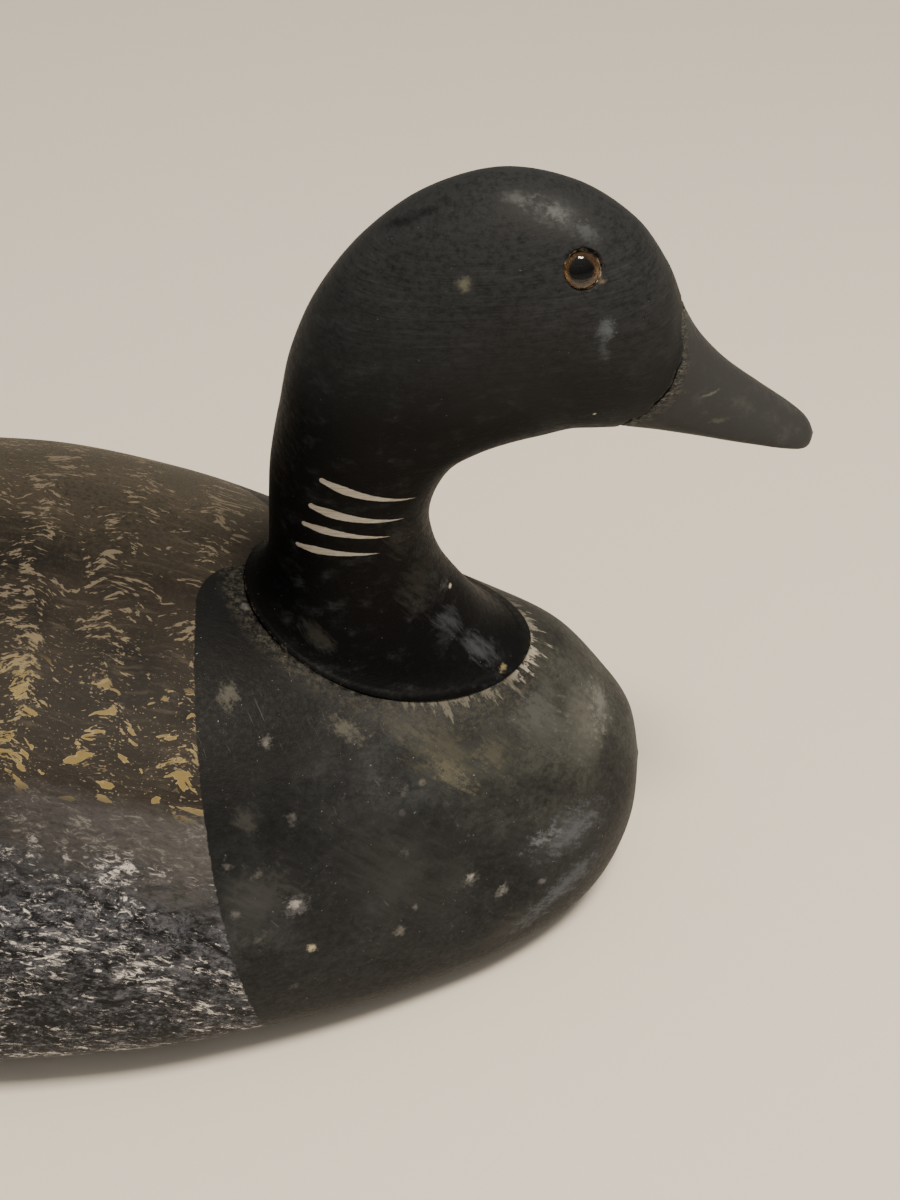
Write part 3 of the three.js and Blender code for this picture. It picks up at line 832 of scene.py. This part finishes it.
# Rubbed patches, spatter, and two pinholes with pale rims, their insides darkened as painted shade.
BREAST_SCUFFS = [
    ((131, -40, 75), (16, 9, 7), 43, 0.5, "#585749"),
    ((134, -42, 69.5), (8, 6, 2.4), 43, 0.4, "#6C6957"),
    ((146, -35, 70), (6, 6, 6), 20, 0.45, "#5F5D50"),
    ((120, -37, 83), (10, 5, 4), 30, 0.45, "#504F48"),
    ((105.5, -41, 86), (7, 4, 2.6), 35, 0.55, "#66655A"),
    ((158, -22, 73), (10, 9, 8), 0, 0.5, "#61625F"),
    ((172, -14, 64), (9, 14, 10), 0, 0.55, "#686963"),
    ((177, -7, 62), (5, 12, 6), 0, 0.5, "#7C7D7B"),
    ((167.5, -40, 43.5), (15, 14, 6.5), -4, 0.6, "#5F646C"),
    ((160, -44, 46), (6, 6, 2.2), -8, 0.4, "#7B8086"),
    ((167, -46, 27), (15, 14, 4.6), -20, 0.6, "#575D66"),
    ((158, -52, 22.5), (11, 9, 3.6), -22, 0.5, "#50565E"),
    ((118, -62, 52), (24, 12, 16), 30, 0.35, "#424341"),
    ((84, -78, 62), (12, 12, 9), 0, 0.4, "#4C4D4B"),
    ((150, -56, 22), (14, 10, 6), -10, 0.3, "#4B4A45"),
    ((74.5, -41, 98), (3, 5, 4), 0, 0.5, "#6A695F"),
    ((80, -66, 78), (4, 4, 6), 20, 0.25, "#5E5E59"),
]
BREAST_SPLASHES = [
    ((93, -76.8, 55.1), (4.2, 3.4, 3.4), 0, 0.55, "#77767A"),
    ((92.5, -76.8, 55.4), (2.2, 2, 1.4), 0, 0.85, "#A6A29B"),
    ((139.6, -57.5, 43.2), (3.2, 2.8, 2.4), 0, 0.5, "#72726F"),
    ((139.4, -57.5, 43.6), (1.6, 1.6, 1.1), 0, 0.85, "#A5A39E"),
    ((148.4, -55.6, 35.9), (3, 2.4, 1.8), -30, 0.7, "#7F7E7B"),
    ((119.8, -71, 36.9), (2.4, 2.2, 1.8), 0, 0.65, "#72706A"),
    ((96.5, -80.4, 41.5), (2.2, 1.8, 1.3), 20, 1, "#B1A78F"),
    ((85, -50, 90), (2.2, 2.4, 1.8), 0, 0.6, "#7A7972"),
    ((124, -66.5, 42), (1.2, 1.2, 1), 0, 0.6, "#77766F"),
    ((77, -82, 58), (1.6, 1.6, 1.6), 0, 0.5, "#6F6F6C"),
    ((104, -67, 66), (1.3, 1.3, 1.1), 0, 0.6, "#75746E"),
    ((112, -59, 69), (1.6, 1.4, 1.2), 0, 0.5, "#6A6964"),
    ((160, -50, 33), (1.8, 1.6, 1.4), 0, 0.5, "#77777A"),
    ((110, -75, 30), (1.8, 1.6, 1), 0, 0.5, "#66655F"),
]
# Each pinhole has a pale worn rim and a dark dot inside it, which is painted shade in the hole.
PINHOLE_RIMS_AND_SHADE = [
    ((126.1, -46.8, 70.9), (1.4, 1.4, 1.2), 0, 0.7, "#7A776A"),
    ((126.3, -46.8, 70.7), (0.8, 0.8, 0.7), 0, 0.8, "#1B1A16"),
    ((120.8, -53.9, 66.5), (1.4, 1.4, 1.2), 0, 0.6, "#6A6A68"),
    ((120.8, -53.9, 66.5), (0.95, 0.95, 0.85), 0, 1, "#020202"),
]


def back_paint(tree, y, girth, bent, broad, fine, smears):
    """Brown, with tan dabs that crowd along zigzag rows from ridge to flank and lean to and fro."""
    along, across, _ = add(tree, "SeparateXYZ", [bent]).node.outputs
    zigzag = add(tree, "Math", [across, ZIGZAG_STEP], "PINGPONG")
    shifted = add(tree, "Math", [zigzag, ZIGZAG_REACH, along], "MULTIPLY_ADD")
    from_row = add(tree, "Math", [shifted, ROW_SPACING / 2], "PINGPONG")
    lean = add(tree, "Math", [along, LEAN_STEP], "PINGPONG")
    leaning = add(tree, "Math", [lean, LEAN, across], "MULTIPLY_ADD")
    place = add(tree, "CombineXYZ", [along, leaning])
    crowd = add(tree, "MapRange", [from_row, ROW_CORE, ROW_END, CROWDED, SPARSE])
    crowd = add(tree, "Math", [broad, 0.25, crowd], "MULTIPLY_ADD")
    small = grainy(tree, place, (3.2, 1.4, 1), seed=5, detail=2.5)
    small = add(tree, "Math", [small, crowd], "ADD")
    large = grainy(tree, place, (5.2, 3.0, 1), seed=6, detail=2.5, rough=0.5)
    large = add(tree, "Math", [crowd, 0.6, large], "MULTIPLY_ADD")
    specks = grainy(tree, bent, (1.1, 0.6, 1), seed=7, detail=1, rough=0.5)
    sprinkled = add(tree, "Math", [crowd, 0.5, specks], "MULTIPLY_ADD")
    torn = grainy(tree, place, (4.5, 1.1, 1), seed=18, detail=3)
    lower = add(tree, "Math", [masked(tree, (y, *FAR_SIDE)), FAR_SHIFT, girth], "MULTIPLY_ADD")
    on_back = masked(tree, (girth, BACK_END + 2, BACK_END - 3))
    small_dabs = masked(tree, (small, *SMALL_DABS), (lower, 74, 60), (lower, 24, 46),
                        (torn, 0.41, 0.44))
    large_dabs = masked(tree, (large, *LARGE_DABS), (lower, 40, 54), on_back, (torn, 0.4, 0.42))
    return coated(tree, "#191713", [
        ("#2B2620", 0.9, (broad, 0.4, 0.62)),
        ("#0E0E0C", 0.6, (broad, 0.47, 0.36)),
        # Painted sheen: the back is lighter towards its far side, where the light grazes it.
        ("#575145", 0.6, (y, -12, 34), (fine, 0.2, 0.55)),
        ("#3E382F", 0.5, (fine, 0.48, 0.75)),
        ("#5C5447", 0.5, (smears, 0.55, 0.75)),
        ("#7A705F", 0.7, (small, *FAINT_DABS), (lower, 48, 34)),
        ("#817761", 0.8, (sprinkled, *SPRINKLED_DABS), on_back, (lower, 20, 46)),
        ("#867959", 0.95, small_dabs),
        ("#948661", large_dabs),
        ("#817044", large_dabs, (large, 0.732, 0.752)),
    ])


def flank_paint(tree, back, x, grain, girth, swirl, fine):
    """Grey-black, dry-brushed with off-white that thins out above to a plain grey-brown band."""
    brushed = add(tree, "VectorMath", [swirl, (9, 5, 0), grain], "MULTIPLY_ADD")
    dry = grainy(tree, brushed, (3.1, 1.5, 1), seed=8, detail=6, rough=0.8, twist=0.8)
    dense = grainy(tree, brushed, (16, 9, 1), seed=9, rough=0.7)
    blots = grainy(tree, brushed, (6, 3.4, 1), seed=10, rough=0.75, twist=0.5)
    dabs = add(tree, "Math", [dense, 0.4, dry], "MULTIPLY_ADD")
    down = add(tree, "Math", [dense, 30.0, girth], "MULTIPLY_ADD")
    on_flank = masked(tree, (down, FLANK_START, FLANK_FULL))
    flank = coated(tree, "#1F1E1E", [
        ("#62605F", 0.75, (x, -5, 64), (dry, 0.2, 0.6)),
        ("#4E4B4A", 0.7, (dense, 0.4, 0.65), (dry, 0.3, 0.6)),
        ("#A09C96", 0.3, (dabs, 0.76, 0.84)),
        ("#17191D", 0.95, on_flank),
        ("#42454C", 0.8, on_flank, (fine, 0.4, 0.6)),
        ("#6C6D75", 0.7, on_flank, (blots, 0.48, 0.6), (fine, 0.35, 0.55)),
        ("#0E0F12", 0.9, on_flank, (blots, 0.46, 0.41)),
        ("#08080A", 0.85, (girth, 114, 144), (fine, 0.64, 0.44)),
        ("#8B8A8D", 0.75, on_flank, (dabs, 0.745, 0.79)),
        ("#EAE5DB", on_flank, (dabs, 0.805, 0.825)),
    ])
    edge = add(tree, "Math", [dense, 6.0, girth], "MULTIPLY_ADD")
    return coated(tree, back, [(flank, (edge, BACK_END, BACK_END + BAND_BLUR))])


def breast_paint(tree, place, x, z, broad, fine, ragged):
    """Black, chalked and rubbed, with spatter, and worn strokes round the front of the foot."""
    bloom = grainy(tree, place, (22, 22, 18), seed=12, detail=5, rough=0.65)
    powdery = grainy(tree, place, (2.4, 2.4, 1.8), seed=19, rough=0.85)
    flecks = grainy(tree, place, (0.8, 0.8, 0.7), seed=14, detail=1)
    wiped = grainy(tree, place, (9, 6, 1.3), seed=16, rough=0.7, twist=0.4, turn=38)
    smudged = add(tree, "Math", [wiped, 0.6, powdery], "MULTIPLY_ADD")
    # Scratches of 0.1 mm are drawn 0.5 mm wide so that they show.
    scraped = grainy(tree, place, (0.5, 8, 6), seed=17, detail=2, twist=0.6, turn=-35)
    dots = add(tree, "TexVoronoi", {"Vector": place, "Scale": 1 / 15})
    dots = add(tree, "Math", [ragged, -0.5, dots], "MULTIPLY_ADD")
    from_foot, at = past_the_foot(tree, place)
    ahead, aside, _ = add(tree, "SeparateXYZ", [at]).node.outputs
    aside = add(tree, "Math", [aside], "ABSOLUTE")
    round_foot = add(tree, "Math", [aside, ahead], "ARCTAN2")
    round_foot = add(tree, "Math", [round_foot, FOOT_MEAN], "MULTIPLY")
    spokes = add(tree, "CombineXYZ", [round_foot, from_foot])
    spokes = grainy(tree, spokes, (1.7, 7, 1), seed=15, detail=3)
    reach = add(tree, "Math", [from_foot, -0.05, spokes], "MULTIPLY_ADD")
    return coated(tree, "#090B0E", [
        ("#1B1D1F", 0.8, (broad, 0.4, 0.65)),
        ("#3A3C3D", 0.6, (powdery, 0.3, 0.85)),
        ("#4C4F50", 0.6, (bloom, 0.46, 0.68), (z, 20, 55), (powdery, 0.2, 0.75)),
        # Bloom on the front of the breast, made lighter still as painted light where it faces up to the
        # lamp.
        ("#55574F", 0.65, (x, 130, 166), (z, 38, 60), (bloom, 0.3, 0.56), (powdery, 0.15, 0.7)),
        ("#030405", 0.85, (x, 114, 88), (z, 62, 90), (fine, 0.9, 0.6)),
        ("#6E6E6B", 0.6, (dots, -0.14, -0.3)),
        ("#A8A6A0", 0.75, (flecks, 0.76, 0.81), (bloom, 0.35, 0.6)),
        ("#5A5B5A", 0.4, (scraped, 0.68, 0.73), (bloom, 0.42, 0.56)),
        *scuffed(tree, place, smudged, BREAST_SCUFFS, eaten=3.4, middle=0.8),
        *scuffed(tree, place, fine, BREAST_SPLASHES, eaten=2.6),
        # Pale rims of the pinholes, and painted shade inside them.
        *scuffed(tree, place, fine, PINHOLE_RIMS_AND_SHADE, eaten=0.6),
        # Dust lies round the neck's foot, under the worn strokes, and along the floor.
        ("#48463E", 0.75, (from_foot, 7, 3), (fine, 0.42, 0.62), (ragged, 0.34, 0.52)),
        ("#A8A395", 0.9, (reach, 0.43, 0.49), (round_foot, 22, 14), (ragged, 0.36, 0.46)),
        ("#777367", 0.6, (reach, 0.57, 0.62), (round_foot, 60, 50), (from_foot, 4, 2),
         (ragged, 0.42, 0.52)),
        ("#4C4B46", 0.6, (z, 7, 3), (ragged, 0.45, 0.6)),
    ])


def on_the_breast(tree, x, y, girth, ragged):
    """The black field. Its edge curves back as it goes down, rounds off to the neck's foot near
    the ridge, and lies further forward beyond it."""
    edge = add(tree, "Math", [girth, girth], "MULTIPLY")
    edge = add(tree, "Math", [edge, -BREAST_EDGE_CURVE, x], "MULTIPLY_ADD")
    edge = add(tree, "Math", [ragged, 1.6, edge], "MULTIPLY_ADD")
    corner = masked(tree, (girth, 14, 0), (girth, 14, 0), 6.0)
    edge = add(tree, "Math", [edge, corner], "SUBTRACT")
    beyond = masked(tree, (y, *FAR_SIDE), (girth, 64, 34), 20.0)
    edge = add(tree, "Math", [edge, beyond], "SUBTRACT")
    return masked(tree, (edge, BREAST_EDGE + 0.65, BREAST_EDGE + 0.65 + EDGE_BLUR))


def body_paint():
    material, tree, shader = new_material("oil_paint_on_cedar_body", 0.5, 1.5, gloss=0.16)
    place = millimetres(tree)
    grain = add(tree, "UVMap", uv_map="grain")
    x, y, z = add(tree, "SeparateXYZ", [place]).node.outputs
    girth = add(tree, "Math", [add(tree, "SeparateXYZ", [grain], out=1)], "ABSOLUTE")
    # The brush has gone to and fro, so what it left bends about.
    swirl = add(tree, "TexNoise", {"Vector": grain, "Scale": 1 / 28, "Detail": 2.0}, out=1)
    swirl = add(tree, "VectorMath", [swirl, (0.5,) * 3], "SUBTRACT")
    bent = add(tree, "VectorMath", [swirl, (20, 15, 0), grain], "MULTIPLY_ADD")
    broad = grainy(tree, bent, (38, 26, 30), seed=1, detail=2)
    fine = grainy(tree, place, (1.5, 1.5, 1.1), seed=2, rough=0.75)
    smears = grainy(tree, bent, (13, 2.4, 1), seed=3, rough=0.7)
    ragged = grainy(tree, place, (2.6, 2.6, 2), seed=13, rough=0.7)
    back = back_paint(tree, y, girth, bent, broad, fine, smears)
    above = flank_paint(tree, back, x, grain, girth, swirl, fine)
    breast = breast_paint(tree, place, x, z, broad, fine, ragged)
    # Bare cedar shows on the splintered edge and on the planed underside.
    low = add(tree, "Math", [ragged, -9.0, z], "MULTIPLY_ADD")
    cedar = coated(tree, "#7E6C50", [
        ("#574935", 0.6, (smears, 0.45, 0.65)),
        ("#A39272", 0.5, (fine, 0.4, 0.7)),
    ])
    colour = coated(tree, above, [
        (breast, on_the_breast(tree, x, y, girth, ragged)),
        (cedar, (low, -3.2, -3.6)),
    ])
    height = add(tree, "Math", [smears, 0.8, fine], "MULTIPLY_ADD")
    relief(tree, shader, height, deep=0.18)
    fill(tree, shader, {"Base Color": colour,
                        "Roughness": add(tree, "MapRange", [fine, 0.3, 0.7, 0.46, 0.66])})
    return material


through_nodes(body, TOOL_MARKS, {
    "Facet length": 0.05, "Facet width": 0.02, "Facet depth": 0.00022, "Ridge depth": 0.00008,
    "Seed": 1.0, "Material": body_paint()})

# The shelf is cut to the neck's outline with a hair's play.
SHELF_PLAY = 0.15
outline = np.roll(head_ring(0), HEAD_SIDES // 2, axis=0)
outward = outline - outline.mean(0)
outward = outward / np.linalg.norm(outward, axis=1)[:, None]
levels = np.array([outline + outward * SHELF_PLAY + SEAT_UP * height for height in (0, 15, 30)])
cut_away(body, skin("shelf", levels, levels[0].mean(0), levels[-1].mean(0), levels[:, :, 0]))
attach(body, "root")
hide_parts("body")

# Studio.
# A pale matt paper floor under soft light: a room that is brightest overhead and pale again at the
# horizon, and one large lamp above the bird's right side.
FLOOR_RADIUS = 12
FLOOR_SIDES = 96
SIDE_GLOW, OVERHEAD_GLOW, HORIZON_GLOW = 0.18, 0.6, 0.26
LAMP_PLACE = (0.5, -0.34, 1.5)
LAMP_TILT, LAMP_LEAN = math.radians(-13), math.radians(17)
LAMP_LENGTH, LAMP_WIDTH = 0.45, 0.36
LAMP_WATTS = 30
circle = [(FLOOR_RADIUS * math.cos(turn), FLOOR_RADIUS * math.sin(turn), 0)
          for turn in np.linspace(0, 2 * math.pi, FLOOR_SIDES, endpoint=False)]
floor_mesh = bpy.data.meshes.new("floor")
floor_mesh.from_pydata(circle, [], [range(FLOOR_SIDES)])
floor = placed("floor", floor_mesh)
paper, tree, shader = new_material("pale_paper_floor", 0.85, 1.45)
fill(tree, shader, {"Base Color": linear("#F5EFE3")})
floor.data.materials.append(paper)

world = bpy.data.worlds.new("studio")
bpy.context.scene.world = world
world.use_nodes = True
tree = world.node_tree
upward = add(tree, "SeparateXYZ", [add(tree, "TexCoord")], out=2)
glow = add(tree, "MapRange", [upward, 0.2, 0.95, SIDE_GLOW, OVERHEAD_GLOW])
horizon = add(tree, "MapRange", [upward, 0.25, 0.1, 0.0, HORIZON_GLOW])
glow = add(tree, "Math", [glow, horizon], "ADD")
fill(tree, tree.nodes["Background"], {"Color": linear("#FFF8EE"), "Strength": glow})

lamp = bpy.data.lights.new("overhead", "AREA")
lamp.shape = "RECTANGLE"
lamp.size, lamp.size_y = LAMP_LENGTH, LAMP_WIDTH
lamp.energy = LAMP_WATTS
lamp.color = linear("#FFF0DC")[:3]
overhead = placed("overhead", lamp)
overhead.location = LAMP_PLACE
overhead.rotation_euler = (LAMP_TILT, LAMP_LEAN, 0)

# Camera, where the photograph was taken: square to the bird's right side and looking down.
CAMERA_PLACE = (0.1335, -0.4184, 0.4725)
LOOK_DOWN = 42
lens = bpy.data.cameras.new("camera")
lens.lens = 60
lens.sensor_width = 36
camera = placed("camera", lens)
camera.location = CAMERA_PLACE
camera.rotation_euler = (math.radians(90 - LOOK_DOWN), 0, 0)
bpy.context.scene.camera = camera
